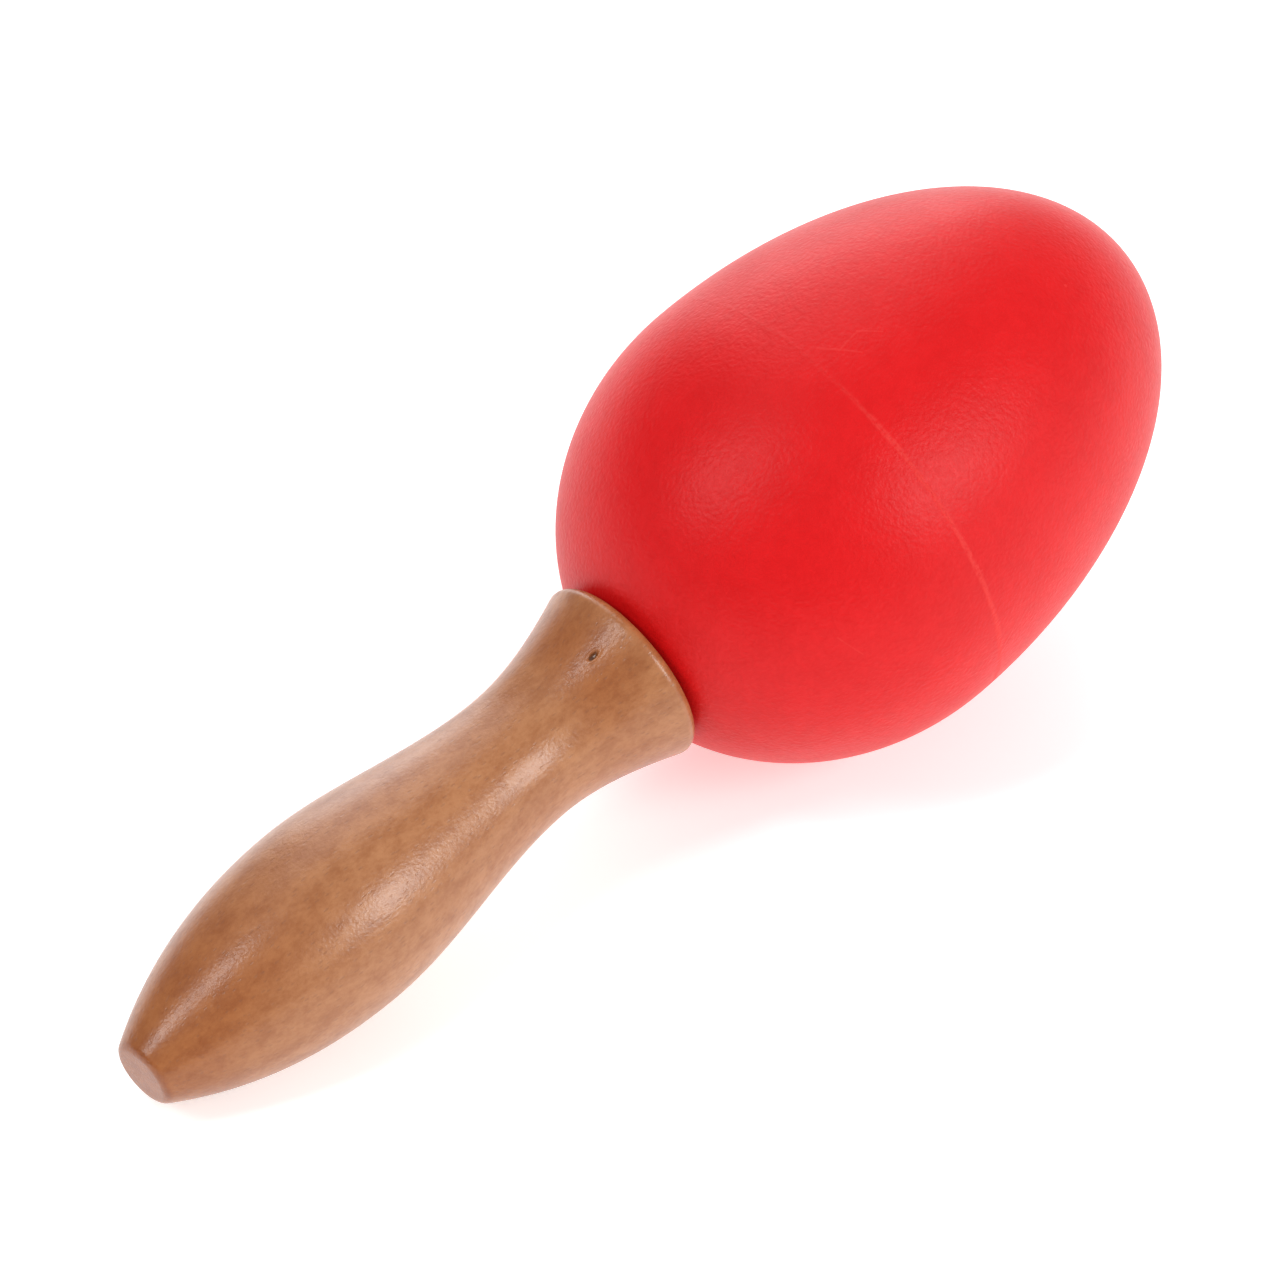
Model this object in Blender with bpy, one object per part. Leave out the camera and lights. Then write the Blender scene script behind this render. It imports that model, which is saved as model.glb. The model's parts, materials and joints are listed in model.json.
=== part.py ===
"""Egg maraca: a plastic egg of loose shot on a turned wooden handle, lying on its side.

Metres, +Z up. The floor is z = 0, and the tip of the egg points along +X.
Every turned piece is drawn about its own long axis, from the butt of the handle (0) to the tip
of the egg, and the empty called lying_down then tips the whole onto the floor. An outline is a
list of (radius, height) points, in which height runs along that long axis.
"""

import math

import bmesh
import bpy
from mathutils import Matrix, Vector

# Handle, turned from one piece of wood. Heights are from the butt unless the name says otherwise.
HANDLE_LENGTH = 0.0743
BUTT_FLAT_RADIUS = 0.0032
BUTT_ROUNDING = 0.0013
BUTT_FLARE = 0.57
BULGE_HEIGHT = 0.0287
BULGE_RADIUS = 0.0115
WAIST_BELOW_RIM = 0.0167
WAIST_RADIUS = 0.0080
RIM_RADIUS = 0.0113
RIM_FLARE = 0.36
LIP_ROUNDING = 0.0012

# Egg, moulded in two halves that lap at the seam.
EGG_RADIUS = 0.0275
BLUNT_LENGTH = 0.0309
TIP_LENGTH = 0.0457
SEAT_DEPTH = 0.0014
SHELL_WALL = 0.0018
SEAM_PAST_BELLY = 0.0012
LAP_LENGTH = 0.0025
LAP_LIP = 0.00075

# Hollow peg under the egg, glued into the bore of the handle.
PEG_RADIUS = 0.0040
PEG_WALL = 0.0018
PEG_LENGTH = 0.0100
PEG_CHAMFER = 0.0005
BORE_END_ROOM = 0.0010

# Brad that is driven through the handle into the peg, with its head sunk under the surface.
BRAD_BELOW_RIM = 0.0057
BRAD_TURN = math.radians(14.3)
BRAD_LENGTH = 0.0100
BRAD_SHANK = (0.00124, 0.00100)
BRAD_HEAD = (0.00190, 0.00124)
BRAD_HEAD_THICKNESS = 0.0005
BRAD_POINT = 0.0015
BRAD_SINK = 0.0004

# Loose shot inside the egg.
PELLET_RADIUS = 0.00225
PELLET_RINGS = 3
PELLET_SPACING_GAP = 0.0003

FIT_GAP = 0.0003
SIDES = 64
CURVE_STEPS = 16
ROUNDING_STEPS = 4

RIM_SLOPE_ANGLE = math.atan(RIM_FLARE)
BELLY_HEIGHT = HANDLE_LENGTH - SEAT_DEPTH + BLUNT_LENGTH
SEAM_HEIGHT = BELLY_HEIGHT + SEAM_PAST_BELLY
LAP_STEP_HEIGHT = SEAM_HEIGHT - LAP_LENGTH
EGG_BOTTOM_HEIGHT = BELLY_HEIGHT - BLUNT_LENGTH
BORE_RADIUS = PEG_RADIUS + FIT_GAP
BORE_END_HEIGHT = EGG_BOTTOM_HEIGHT - PEG_LENGTH - BORE_END_ROOM
BRAD_HEIGHT = HANDLE_LENGTH - BRAD_BELOW_RIM
FACET = math.cos(math.pi / SIDES)


# ---------------------------------------------------------------- outlines


def shares(steps):
    return [step / steps for step in range(steps + 1)]


def rounding(centre, radius, start, end, steps):
    """Points of an arc about centre, by the direction angle of its outward normal from the radius."""
    angles = [start + (end - start) * share for share in shares(steps)]
    return [
        (centre[0] + radius * math.cos(angle), centre[1] + radius * math.sin(angle))
        for angle in angles
    ]


def flowing(start, start_slope, end, end_slope, steps):
    """Points of a cubic from start to end, with the given growth of radius per height at each."""
    span = end[1] - start[1]
    points = []
    for share in shares(steps):
        square, cube = share**2, share**3
        radius = (2 * cube - 3 * square + 1) * start[0]
        radius += (cube - 2 * square + share) * span * start_slope
        radius += (3 * square - 2 * cube) * end[0]
        radius += (cube - square) * span * end_slope
        points.append((radius, start[1] + span * share))
    return points


def egg_radius(height, inset=0.0):
    """Radius of the egg at a height; a positive inset reads the same egg that much further in."""
    along = height - BELLY_HEIGHT
    reach = (TIP_LENGTH if along > 0 else BLUNT_LENGTH) - inset
    return (EGG_RADIUS - inset) * math.sqrt(max(0.0, 1 - (along / reach) ** 2))


def egg_stretch(start_height, end_height, inset, steps):
    """Points on the egg between two heights, on one side of its belly, evenly turned along it."""
    tip_side = max(start_height, end_height) > BELLY_HEIGHT + 1e-9
    reach = (TIP_LENGTH if tip_side else BLUNT_LENGTH) - inset
    first = math.asin(max(-1.0, min(1.0, (start_height - BELLY_HEIGHT) / reach)))
    last = math.asin(max(-1.0, min(1.0, (end_height - BELLY_HEIGHT) / reach)))
    turns = [first + (last - first) * share for share in shares(steps)]
    return [
        ((EGG_RADIUS - inset) * math.cos(turn), BELLY_HEIGHT + reach * math.sin(turn))
        for turn in turns
    ]


def height_on_blunt_end(radius, inset):
    """Height at which the egg's blunt end, read that much further in, has a radius."""
    share = math.sqrt(1 - (radius / (EGG_RADIUS - inset)) ** 2)
    return BELLY_HEIGHT - (BLUNT_LENGTH - inset) * share


def handle_outside():
    """The handle's outer side, from the edge of the butt's flat to the crest of the lip."""
    butt_turn = math.atan(BUTT_FLARE)
    butt_centre = (BUTT_FLAT_RADIUS, BUTT_ROUNDING)
    butt = rounding(butt_centre, BUTT_ROUNDING, -math.pi / 2, -butt_turn, ROUNDING_STEPS)

    lip_centre = (RIM_RADIUS - LIP_ROUNDING, HANDLE_LENGTH - LIP_ROUNDING)
    lip = rounding(lip_centre, LIP_ROUNDING, -RIM_SLOPE_ANGLE, math.pi / 2, ROUNDING_STEPS + 2)

    bulge = (BULGE_RADIUS, BULGE_HEIGHT)
    waist = (WAIST_RADIUS, HANDLE_LENGTH - WAIST_BELOW_RIM)
    palm = flowing(butt[-1], BUTT_FLARE, bulge, 0.0, CURVE_STEPS)
    neck = flowing(bulge, 0.0, waist, 0.0, CURVE_STEPS)
    throat = flowing(waist, 0.0, lip[0], RIM_FLARE, CURVE_STEPS // 2)
    return butt + palm[1:] + neck[1:] + throat[1:] + lip[1:]


def handle_outline():
    """The closed handle: butt, outer side, lip, the cup that seats the egg, and the peg's bore."""
    cup_height = height_on_blunt_end(BORE_RADIUS, -FIT_GAP)
    cup = egg_stretch(HANDLE_LENGTH, cup_height, -FIT_GAP, ROUNDING_STEPS)
    bore = [(BORE_RADIUS, BORE_END_HEIGHT), (0.0, BORE_END_HEIGHT)]
    return [(0.0, 0.0)] + handle_outside() + cup + bore


def handle_radius(height):
    """Radius of the handle's outer side at a height, read between the points of its outline."""
    side = handle_outside()
    for (low_radius, low), (high_radius, high) in zip(side, side[1:]):
        if low <= height <= high:
            return low_radius + (high_radius - low_radius) * (height - low) / (high - low)
    raise ValueError("the handle has no outer side at that height")


def lap_radius():
    """Inner face of the base half's lip, which the tip half's lip slides inside."""
    return egg_radius(SEAM_HEIGHT) - LAP_LIP


def base_half_outline():
    """Blunt half: inner wall, step and lip of the lap, outer wall, then the hollow peg."""
    inner_bottom = EGG_BOTTOM_HEIGHT + SHELL_WALL
    inside = egg_stretch(inner_bottom, LAP_STEP_HEIGHT, SHELL_WALL, CURVE_STEPS)
    lip = [
        (lap_radius(), LAP_STEP_HEIGHT),
        (lap_radius(), SEAM_HEIGHT),
        (egg_radius(SEAM_HEIGHT), SEAM_HEIGHT),
    ]
    root_height = height_on_blunt_end(PEG_RADIUS, 0.0)
    outside = egg_stretch(BELLY_HEIGHT, root_height, 0.0, CURVE_STEPS)
    peg_end = EGG_BOTTOM_HEIGHT - PEG_LENGTH
    peg = [
        (PEG_RADIUS, peg_end + PEG_CHAMFER),
        (PEG_RADIUS - PEG_CHAMFER, peg_end),
        (PEG_RADIUS - PEG_WALL, peg_end),
        (PEG_RADIUS - PEG_WALL, EGG_BOTTOM_HEIGHT),
        (0.0, EGG_BOTTOM_HEIGHT),
    ]
    return inside + lip + outside + peg


def tip_half_outline():
    """Narrow half: outer wall from the tip down, the lap's inner lip, then the inner wall."""
    edge = SEAM_HEIGHT + FIT_GAP
    lip_radius = lap_radius() - FIT_GAP
    lip_end = LAP_STEP_HEIGHT + FIT_GAP
    outside = egg_stretch(BELLY_HEIGHT + TIP_LENGTH, edge, 0.0, CURVE_STEPS)
    lip = [(lip_radius, edge), (lip_radius, lip_end)]
    inner_tip = BELLY_HEIGHT + TIP_LENGTH - SHELL_WALL
    inside = egg_stretch(lip_end, inner_tip, SHELL_WALL, CURVE_STEPS)
    return outside + lip + inside


# ---------------------------------------------------------------- pieces


def material(name, colour, roughness, metallic=0.0):
    made = bpy.data.materials.new(name)
    made.use_nodes = True
    surface = made.node_tree.nodes["Principled BSDF"]
    surface.inputs["Base Color"].default_value = (*colour, 1.0)
    surface.inputs["Roughness"].default_value = roughness
    surface.inputs["Metallic"].default_value = metallic
    return made


def add_object(name, shape, finish):
    """Closes a bmesh into a smooth-shaded object with its faces pointing out."""
    bmesh.ops.recalc_face_normals(shape, faces=shape.faces)
    mesh = bpy.data.meshes.new(name)
    shape.to_mesh(mesh)
    shape.free()
    mesh.shade_smooth()
    mesh.set_sharp_from_angle(angle=math.radians(35))
    mesh.materials.append(finish)
    piece = bpy.data.objects.new(name, mesh)
    bpy.context.scene.collection.objects.link(piece)
    return piece


def turned(name, outline, finish):
    """Spins an outline that starts and ends on the axis, with a flat facet facing the floor."""
    shape = bmesh.new()
    half_facet = math.pi / SIDES
    points = [
        shape.verts.new((radius * math.cos(half_facet), radius * math.sin(half_facet), height))
        for radius, height in outline
    ]
    edges = [shape.edges.new(pair) for pair in zip(points, points[1:])]
    bmesh.ops.spin(
        shape,
        geom=points + edges,
        cent=(0.0, 0.0, 0.0),
        axis=(0.0, 0.0, 1.0),
        angle=2 * math.pi,
        steps=SIDES,
        use_merge=True,
    )
    bmesh.ops.remove_doubles(shape, verts=shape.verts, dist=1e-6)
    return add_object(name, shape, finish)


def brad_shape(grown=0.0, above=0.0):
    """A brad that points down its own -Z from its head at 0; it can be grown to cut its hole."""
    sections = [
        (BRAD_HEAD, above),
        (BRAD_HEAD, -BRAD_HEAD_THICKNESS - grown),
        (BRAD_SHANK, -BRAD_HEAD_THICKNESS - grown),
        (BRAD_SHANK, BRAD_POINT - BRAD_LENGTH),
        ((BRAD_SHANK[0] / 4, BRAD_SHANK[1]), -BRAD_LENGTH - grown),
    ]
    shape = bmesh.new()
    rings = []
    for (length, width), height in sections:
        x, y = length / 2 + grown, width / 2 + grown
        corners = [(x, y), (-x, y), (-x, -y), (x, -y)]
        rings.append([shape.verts.new((*corner, height)) for corner in corners])
    for upper, lower in zip(rings, rings[1:]):
        for side in range(4):
            follow = (side + 1) % 4
            shape.faces.new((upper[side], upper[follow], lower[follow], lower[side]))
    shape.faces.new(rings[0])
    shape.faces.new(reversed(rings[-1]))
    return shape


def brad_place(below_surface):
    """Stands a brad on the handle's side, pointing at the axis, long side along the handle."""
    top = Vector((-math.cos(BRAD_TURN), -math.sin(BRAD_TURN), 0.0))
    reach = handle_radius(BRAD_HEIGHT) - below_surface
    along = Vector((0.0, 0.0, 1.0))
    across = top.cross(along)
    turn = Matrix((along, across, top)).transposed().to_4x4()
    return Matrix.Translation(top * reach + along * BRAD_HEIGHT) @ turn


def cut_by(piece, cutter):
    hole = piece.modifiers.new("brad_hole", "BOOLEAN")
    hole.operation = "DIFFERENCE"
    hole.object = cutter


# ---------------------------------------------------------------- lying on the floor


def lowest_over(outline, tilt):
    """How low an outline reaches below the butt's centre once its axis rises by tilt."""
    return min(
        height * math.sin(tilt) - radius * FACET * math.cos(tilt) for radius, height in outline
    )


def resting_tilt():
    """Tilt at which the handle's palm and the egg's belly touch the floor together."""
    egg = egg_stretch(EGG_BOTTOM_HEIGHT, BELLY_HEIGHT, 0.0, CURVE_STEPS)
    handle = handle_outside()
    flat, steep = 0.0, math.radians(60)
    for _ in range(50):
        middle = (flat + steep) / 2
        if lowest_over(egg, middle) < lowest_over(handle, middle):
            flat = middle
        else:
            steep = middle
    return (flat + steep) / 2


def lay_down(frame, pieces):
    """Tips the frame onto the floor and centres what it carries over the origin."""
    turn = Matrix.Rotation(math.pi / 2 - resting_tilt(), 4, "Y")
    corners = [turn @ corner.co for piece in pieces for corner in piece.data.vertices]
    spans = [(min(axis), max(axis)) for axis in zip(*corners)]
    middle_x, middle_y = sum(spans[0]) / 2, sum(spans[1]) / 2
    frame.matrix_world = Matrix.Translation((-middle_x, -middle_y, -spans[2][0])) @ turn


# ---------------------------------------------------------------- shot


def in_cavity(point, lying):
    """True where a pellet's centre can be, given in the room's axes, clear of the shell's wall."""
    x, y, height = lying.inverted() @ Vector(point)
    inset = SHELL_WALL + PELLET_RADIUS + FIT_GAP + EGG_RADIUS * (1 - FACET)
    return math.hypot(x, y) < egg_radius(height, inset)


def wall_height(x, y, start, direction, lying):
    """Height of the last place a pellet's centre can reach, straight up or down from start."""
    near, far = 0.0, 2 * EGG_RADIUS
    for _ in range(40):
        middle = (near + far) / 2
        if in_cavity((x, y, start + direction * middle), lying):
            near = middle
        else:
            far = middle
    return start + direction * near


def ring_places(rings):
    """Places of a hexagonal grid that fill a number of rings round the middle one, in pitches."""
    steps = range(-rings, rings + 1)
    return [
        (along + row / 2, row * math.sqrt(3) / 2)
        for row in steps
        for along in steps
        if abs(along + row) <= rings
    ]


def pellet_columns(lying):
    """(x, y, rest height, top height) of each pellet, one layer deep on the wall under the belly."""
    belly = lying @ Vector((0.0, 0.0, BELLY_HEIGHT))
    pitch = 2 * PELLET_RADIUS + PELLET_SPACING_GAP
    columns = []
    for along, across in ring_places(PELLET_RINGS):
        x, y = belly.x + along * pitch, belly.y + across * pitch
        rest = wall_height(x, y, belly.z, -1, lying)
        top = wall_height(x, y, belly.z, 1, lying)
        columns.append((x, y, rest, top))
    return columns


def add_pellets(lying, finish):
    ball = bmesh.new()
    bmesh.ops.create_icosphere(ball, subdivisions=2, radius=PELLET_RADIUS)
    mesh = bpy.data.meshes.new("pellet")
    ball.to_mesh(mesh)
    ball.free()
    mesh.shade_smooth()
    mesh.materials.append(finish)
    for number, (x, y, rest, top) in enumerate(pellet_columns(lying), start=1):
        pellet = bpy.data.objects.new(f"pellet_{number:02d}", mesh)
        pellet.location = (x, y, rest)
        # How far straight up it can jump before it meets the shell above it.
        pellet["travel"] = top - rest
        bpy.context.scene.collection.objects.link(pellet)


# ---------------------------------------------------------------- the object


def main():
    for leftover in list(bpy.data.objects):
        bpy.data.objects.remove(leftover)

    wood = material("lacquered_wood", (0.39, 0.18, 0.075), 0.40)
    red = material("red_plastic", (0.70, 0.022, 0.025), 0.55)
    steel = material("steel", (0.55, 0.55, 0.56), 0.35, metallic=1.0)

    handle = turned("handle", handle_outline(), wood)
    base_half = turned("egg_base_half", base_half_outline(), red)
    tip_half = turned("egg_tip_half", tip_half_outline(), red)

    brad = add_object("locking_brad", brad_shape(), steel)
    brad.matrix_world = brad_place(BRAD_SINK)
    brad_hole = add_object("brad_hole", brad_shape(FIT_GAP, above=4 * BRAD_SINK), steel)
    brad_hole.matrix_world = brad_place(BRAD_SINK)
    brad_hole.hide_render = True
    brad_hole.display_type = "WIRE"
    cut_by(handle, brad_hole)
    cut_by(base_half, brad_hole)

    lying_down = bpy.data.objects.new("lying_down", None)
    bpy.context.scene.collection.objects.link(lying_down)
    lay_down(lying_down, (handle, base_half, tip_half))
    for piece in (handle, base_half, tip_half, brad, brad_hole):
        piece.parent = lying_down

    add_pellets(lying_down.matrix_world.copy(), steel)


main()
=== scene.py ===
# %% [markdown]
# # A wooden-handled egg maraca, finished round its CAD model
#
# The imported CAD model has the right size, and its pieces already fit and move. Its surfaces are
# plain facets, though. This script makes a fine surface for each piece that shows, gives every
# piece a finish worked out from nodes, and lights the whole for a picture.
#
# One idea carries the file: almost every piece of a maraca is turned or moulded round one axis,
# so almost every surface here is a radius and a height worked out on a grid.

# %% Load the CAD model as a fixed frame
import json
import math

import bmesh
import bpy
import numpy as np
from mathutils import Matrix, Vector


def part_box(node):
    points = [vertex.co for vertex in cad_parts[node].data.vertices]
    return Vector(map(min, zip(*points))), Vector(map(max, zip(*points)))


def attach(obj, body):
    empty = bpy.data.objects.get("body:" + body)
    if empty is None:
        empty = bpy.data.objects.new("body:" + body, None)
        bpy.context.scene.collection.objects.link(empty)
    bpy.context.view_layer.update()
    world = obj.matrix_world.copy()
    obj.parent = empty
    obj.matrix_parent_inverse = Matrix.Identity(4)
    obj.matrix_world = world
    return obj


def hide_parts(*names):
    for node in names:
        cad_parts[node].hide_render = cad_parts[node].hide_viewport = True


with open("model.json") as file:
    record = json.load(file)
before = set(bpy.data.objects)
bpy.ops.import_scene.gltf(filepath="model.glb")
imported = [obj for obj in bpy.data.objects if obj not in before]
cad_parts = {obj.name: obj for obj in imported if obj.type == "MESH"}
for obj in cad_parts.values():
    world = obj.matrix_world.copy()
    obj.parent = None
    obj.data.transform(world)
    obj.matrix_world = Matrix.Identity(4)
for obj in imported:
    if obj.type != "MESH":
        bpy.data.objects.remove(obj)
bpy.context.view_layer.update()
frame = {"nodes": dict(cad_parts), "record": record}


# %% [markdown]
# ## The maraca's own axis
#
# The maraca lies on its side and leans, because the egg is fatter than the handle. Each piece
# could be drawn upright and tipped over afterwards, but then its object would be turned, and a
# pattern that reads the object's coordinates would turn with it. So three directions are fixed
# first, and every point is written straight into its final place: ALONG runs from the butt of
# the handle to the tip of the egg, TOP is the side that faces up, and SIDE is at right angles to
# both. The record's butt_face mount says where the axis starts and which way it points.

# %% Read the axis from the record
MM = 0.001

butt_face = next(mount for mount in frame["record"]["mounts"] if mount["name"] == "butt_face")
BUTT = np.array(butt_face["pos_m"])
ALONG = -np.array(butt_face["axis"])
ALONG /= np.linalg.norm(ALONG)
TOP = np.array([-ALONG[2], 0.0, ALONG[0]])
SIDE = np.cross(ALONG, TOP)
print("axis rises by", round(math.degrees(math.asin(ALONG[2])), 2), "degrees")


def place(radius, turn, height, foot=BUTT):
    """Points at a radius from the axis, turned from TOP towards SIDE, and a height along it:
    foot + radius (cos turn TOP + sin turn SIDE) + height ALONG."""
    outward = np.cos(turn)[..., None] * TOP + np.sin(turn)[..., None] * SIDE
    return foot + radius[..., None] * outward + height[..., None] * ALONG


def cad_points(node):
    """All corners of a CAD node, one row each."""
    mesh = frame["nodes"][node].data
    flat = np.empty(3 * len(mesh.vertices), np.float32)
    mesh.vertices.foreach_get("co", flat)
    return flat.reshape(-1, 3).astype(float)


def outline_of(node):
    """Distance from the axis and height along it of each corner of a CAD node."""
    offset = cad_points(node) - BUTT
    height = offset @ ALONG
    return np.linalg.norm(offset - height[:, None] * ALONG, axis=1), height


print("handle reaches", round(outline_of("handle")[1].max() / MM, 2), "mm along it")

# %% [markdown]
# ## The camera
#
# The maraca is seen from the front left of its handle and from well above, with the egg further
# away. The outlines keep nearly the same scale from end to end, which only a long lens a good
# way off does: near to, the handle would swell and the egg would shrink. So the distance is
# chosen, and the lens follows from how much of the frame the maraca fills.

# %% Stand the camera
CAMERA_AZIMUTH = math.radians(-42.7)
CAMERA_ELEVATION = math.radians(44.3)
CAMERA_DISTANCE = 4.0
SHARE_OF_FRAME = 0.81

back = np.array([
    math.sin(CAMERA_AZIMUTH) * math.cos(CAMERA_ELEVATION),
    -math.cos(CAMERA_AZIMUTH) * math.cos(CAMERA_ELEVATION),
    math.sin(CAMERA_ELEVATION),
])
right = np.array([math.cos(CAMERA_AZIMUTH), math.sin(CAMERA_AZIMUTH), 0.0])
up = np.cross(back, right)
view_axes = np.stack((right, up, back))

seen = np.concatenate([cad_points(node) for node in ("handle", "egg_base_half", "egg_tip_half")])
seen = seen @ view_axes.T
middle = (seen.min(axis=0) + seen.max(axis=0)) / 2
frame_width = (seen.max(axis=0) - seen.min(axis=0))[:2].max() / SHARE_OF_FRAME

camera = bpy.data.objects.new("camera", bpy.data.cameras.new("camera"))
bpy.context.scene.collection.objects.link(camera)
bpy.context.scene.camera = camera
camera.location = Vector(middle @ view_axes + CAMERA_DISTANCE * back)
camera.rotation_euler = Vector(back).to_track_quat("Z", "Y").to_euler()
camera.data.lens = camera.data.sensor_width * CAMERA_DISTANCE / frame_width
print("lens", round(camera.data.lens), "mm; the frame is", round(frame_width / MM), "mm wide")

# %% [markdown]
# ## A surface turned round the axis
#
# A Screw or a Spin would turn an outline too, but both give every ring the same number of evenly
# spaced points, and a dent on one side then has too few of them. Here an outline and a set of
# turns make a grid, so rows and columns can be crowded where there is something to see. The first
# and last rows sit on the axis and shrink to one point each, which closes the skin.

# %% Helpers for turned surfaces
SHARP_EDGE = math.radians(50)
FINE_STEPS = 4000


def crowded(start, end, count, crowd):
    """count values from start to end. The crowd is (where, how wide, how many times closer):
    the spacing is divided by 1 + closer times a bell curve round where."""
    where, wide, closer = crowd
    even = np.linspace(start, end, FINE_STEPS)
    total = np.cumsum(1 + closer * np.exp(-(((even - where) / wide) ** 2)))
    return np.interp(np.linspace(total[0], total[-1], count), total, even)


def rows(columns, *steps):
    """Stacks the steps of an outline into one grid with this many columns. A step is a number, a
    list of numbers that hold all the way round, or a grid that varies round the axis."""
    grids = [np.asarray(step, float) for step in steps]
    return np.concatenate([
        grid if grid.ndim == 2 else np.tile(grid.reshape(-1, 1), columns) for grid in grids
    ])


def skin(name, points, faces):
    """A smooth-shaded object from points and faces, at the origin."""
    mesh = bpy.data.meshes.new(name)
    mesh.from_pydata(points.tolist(), [], faces)
    mesh.shade_smooth()
    mesh.set_sharp_from_angle(angle=SHARP_EDGE)
    piece = bpy.data.objects.new(name, mesh)
    bpy.context.scene.collection.objects.link(piece)
    return piece


def turned(name, radius, height, turns, foot=BUTT):
    """Turns rows of radius and height (one row per step of the outline, one column per turn) into
    a closed skin. The outline starts and ends on the axis and climbs on its outer side."""
    radius, height, turns = np.broadcast_arrays(radius, height, turns[None, :])
    steps, columns = radius.shape
    grid = place(radius, turns, height, foot)
    points = np.concatenate((grid[0, :1], grid[1:-1].reshape(-1, 3), grid[-1, :1]))

    here = np.arange(columns)
    after = np.roll(here, -1)
    first_fan = np.column_stack((np.zeros_like(here), 1 + after, 1 + here))
    low = 1 + columns * np.arange(steps - 3)[:, None]
    high = low + columns
    quads = np.stack((low + here, low + after, high + after, high + here), axis=-1).reshape(-1, 4)
    last_ring = 1 + columns * (steps - 3)
    last_pole = np.full_like(here, len(points) - 1)
    last_fan = np.column_stack((last_pole, last_ring + here, last_ring + after))
    return skin(name, points, first_fan.tolist() + quads.tolist() + last_fan.tolist())


def report(piece):
    """Prints the piece's size; a volume above zero means that its faces point outwards."""
    shape = bmesh.new()
    shape.from_mesh(piece.data)
    open_edges = sum(not edge.is_manifold for edge in shape.edges)
    triangles = sum(len(face.verts) - 2 for face in shape.faces)
    volume = shape.calc_volume(signed=True) / (10 * MM) ** 3
    shape.free()
    print(f"{piece.name}: {triangles} triangles, {volume:.3f} cm3, {open_edges} open edges")


print("helpers: crowded, rows, skin, turned, report")

# %% [markdown]
# ## The outline of the handle
#
# The handle is one piece of wood, turned on a lathe: a small flat butt with a softened edge, a
# bulge that fills the palm, a waist for finger and thumb, and a flared throat that ends in a
# rounded lip round the egg. A turner thinks of it as a few high and low points with fair curves
# between them, and so does this outline: arcs at the two edges, and three cubics that leave and
# arrive at a given slope, so that nothing kinks where they meet.

# %% Draw the handle's outline
HANDLE_LENGTH = 74.3 * MM
BUTT_FLAT_RADIUS = 3.2 * MM
BUTT_ROUNDING = 1.3 * MM
BUTT_FLARE = 0.57
BULGE_RADIUS, BULGE_HEIGHT = 11.5 * MM, 28.7 * MM
WAIST_RADIUS, WAIST_HEIGHT = 8.0 * MM, 57.6 * MM
RIM_RADIUS = 11.3 * MM
RIM_FLARE = 0.36
LIP_ROUNDING = 1.2 * MM
FIT_GAP = 0.3 * MM

BRAD_HEIGHT = 68.6 * MM
BRAD_TURN = math.radians(14.3)


def arc(centre, radius, start, end, count):
    """Points at a distance from a centre, from one direction to another, in radians:
    centre + radius (cos, sin)."""
    direction = np.linspace(start, end, count)
    return centre[0] + radius * np.cos(direction), centre[1] + radius * np.sin(direction)


def flowing(start, start_slope, end, end_slope, heights):
    """Radius at each height on the cubic that leaves start and meets end, both (radius, height),
    with the given gain of radius per height."""
    span = end[1] - start[1]
    share = (heights - start[1]) / span
    square, cube = share**2, share**3
    radius = (2 * cube - 3 * square + 1) * start[0] + (3 * square - 2 * cube) * end[0]
    return radius + span * ((cube - 2 * square + share) * start_slope + (cube - square) * end_slope)


def handle_outside():
    """Radius and height from the edge of the butt's flat, over the palm, waist and throat, to the
    crest of the lip. Rows are crowded where the throat holds the brad."""
    quarter_turn = math.pi / 2
    butt_centre = (BUTT_FLAT_RADIUS, BUTT_ROUNDING)
    butt = arc(butt_centre, BUTT_ROUNDING, -quarter_turn, -math.atan(BUTT_FLARE), 12)
    lip_centre = (RIM_RADIUS - LIP_ROUNDING, HANDLE_LENGTH - LIP_ROUNDING)
    lip = arc(lip_centre, LIP_ROUNDING, -math.atan(RIM_FLARE), quarter_turn, 18)

    leave = (butt[0][-1], butt[1][-1])
    bulge = (BULGE_RADIUS, BULGE_HEIGHT)
    waist = (WAIST_RADIUS, WAIST_HEIGHT)
    arrive = (lip[0][0], lip[1][0])
    palm = np.linspace(leave[1], BULGE_HEIGHT, 56)[1:]
    neck = np.linspace(BULGE_HEIGHT, WAIST_HEIGHT, 56)[1:]
    throat = crowded(WAIST_HEIGHT, arrive[1], 80, (BRAD_HEIGHT, 1.2 * MM, 4.0))[1:-1]

    radius = (
        butt[0],
        flowing(leave, BUTT_FLARE, bulge, 0.0, palm),
        flowing(bulge, 0.0, waist, 0.0, neck),
        flowing(waist, 0.0, arrive, RIM_FLARE, throat),
        lip[0],
    )
    return np.concatenate(radius), np.concatenate((butt[1], palm, neck, throat, lip[1]))


outside_radius, outside_height = handle_outside()
cad_radius, cad_height = outline_of("handle")
on_skin = (cad_height > 5 * MM) & (cad_height < 65 * MM) & (cad_radius > 6 * MM)
stray = cad_radius[on_skin] - np.interp(cad_height[on_skin], outside_height, outside_radius)
print("the CAD handle's corners are within", round(abs(stray).max() / MM, 3), "mm of this outline")

# %% [markdown]
# ## The outline of the egg
#
# An egg is two half ellipses that share their widest ring: a short blunt one that sits in the
# handle, and a long one that runs out to the tip. Read by its lift, the angle that goes from -90
# degrees at the blunt end through 0 at the belly to 90 at the tip, the radius is R cos lift and
# the height is belly + reach sin lift, so rows come closer together by themselves where the egg
# turns in. The inside of the shell is the same egg, a wall's thickness further in.

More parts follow.
